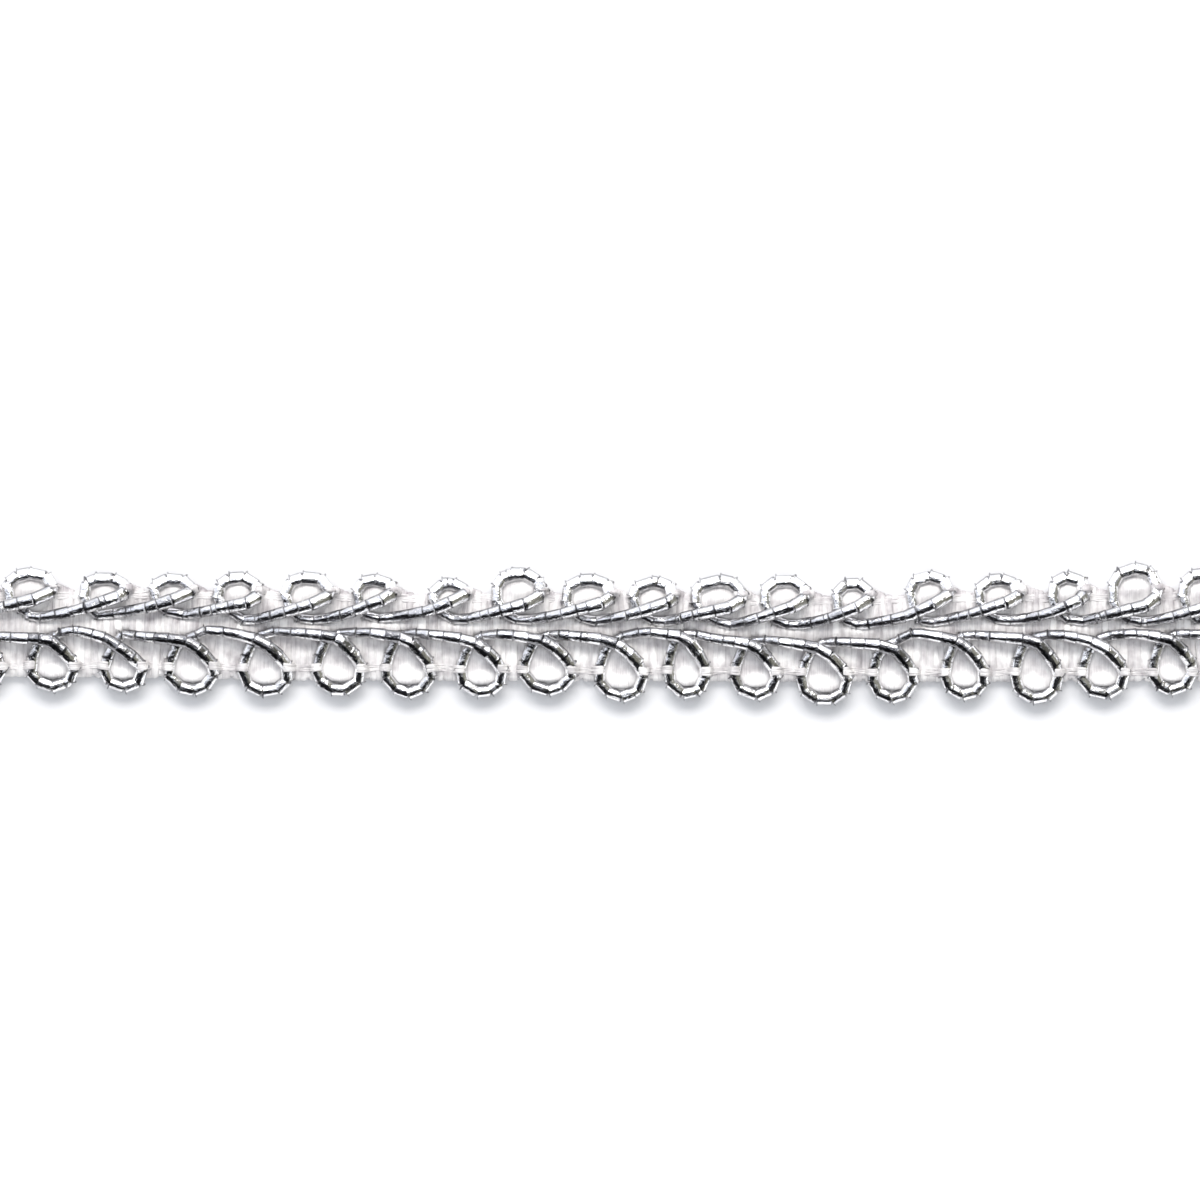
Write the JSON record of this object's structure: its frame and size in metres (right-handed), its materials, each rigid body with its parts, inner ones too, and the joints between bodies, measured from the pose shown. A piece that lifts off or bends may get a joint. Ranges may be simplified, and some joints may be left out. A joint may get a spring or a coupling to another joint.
{
  "type": "scroll gimp braid",
  "caption": "Straight cut length of narrow scroll gimp braid: a knitted tape that carries a looped silver cord along each edge.",
  "frame": {"origin": "middle of the flat back of the ground tape", "axes": "+X along the braid, +Y across it to the edge whose loops stand further apart from their stems, +Z out of the braid's face"},
  "size_m": [0.087, 0.0092, 0.0025],
  "materials": {
    "ground_yarn": "satin whitish yarn, knitted",
    "silver_foil": "bright silver foil strip wrapped round a cord"
  },
  "bodies": {
    "root": {"ground_tape": "ground_yarn", "upper_gimp": "silver_foil", "lower_gimp": "silver_foil"}
  },
  "joints": []
}
